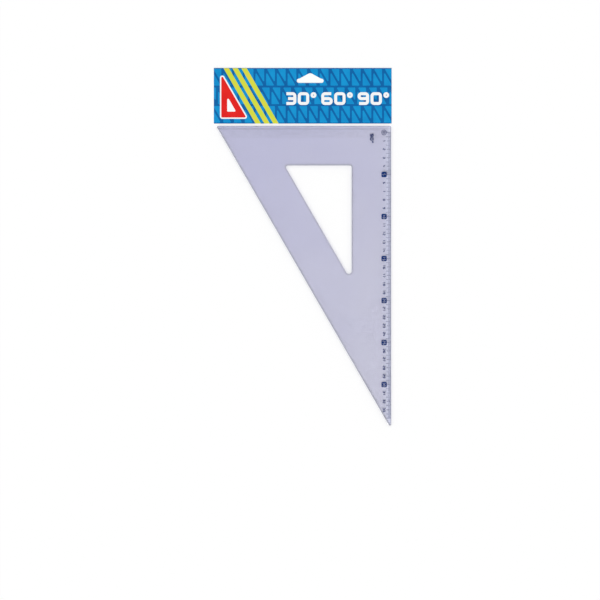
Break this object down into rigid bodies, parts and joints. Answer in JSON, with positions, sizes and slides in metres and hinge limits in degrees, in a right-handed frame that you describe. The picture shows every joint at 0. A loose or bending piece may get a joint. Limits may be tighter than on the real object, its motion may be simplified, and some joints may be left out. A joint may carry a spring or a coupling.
{
  "type": "drafting triangle",
  "caption": "Flat clear tinted 30-60-90 drafting triangle with a triangular window, a printed centimetre scale on its long leg and a pull-off hanging header card.",
  "frame": {"origin": "under the middle of the whole object, on the surface that it lies on with its printed face up", "axes": "+X along the short leg towards the square corner, +Y along the long leg towards the header card, +Z out of the printed face"},
  "size_m": [0.2118, 0.4258, 0.0025],
  "materials": {
    "tinted_clear_plastic": "gloss",
    "scale_ink": "matte",
    "badge_ink": "matte",
    "white_board": "matte",
    "clear_adhesive": "satin",
    "deep_blue_ink": "satin",
    "sky_blue_ink": "satin",
    "lime_ink": "satin",
    "red_ink": "satin",
    "white_ink": "satin"
  },
  "bodies": {
    "triangle": {"triangle_plate": "tinted_clear_plastic", "millimetre_marks": "scale_ink", "half_centimetre_marks": "scale_ink", "centimetre_marks": "scale_ink", "centimetre_numerals": "scale_ink", "five_centimetre_badges": "badge_ink", "zero_mark": "scale_ink", "corner_angle_mark": "badge_ink"},
    "header": {"header_card": "white_board", "adhesive_strip": "clear_adhesive", "card_ground": "deep_blue_ink", "card_tiles": "sky_blue_ink", "card_stripes": "lime_ink", "card_emblem": "red_ink", "card_numerals": "white_ink"}
  },
  "joints": [
    {"name": "header_pull", "type": "slide", "parent": "triangle", "child": "header", "axis": [0, 1, 0], "range_m": [0, 0.03]}
  ]
}
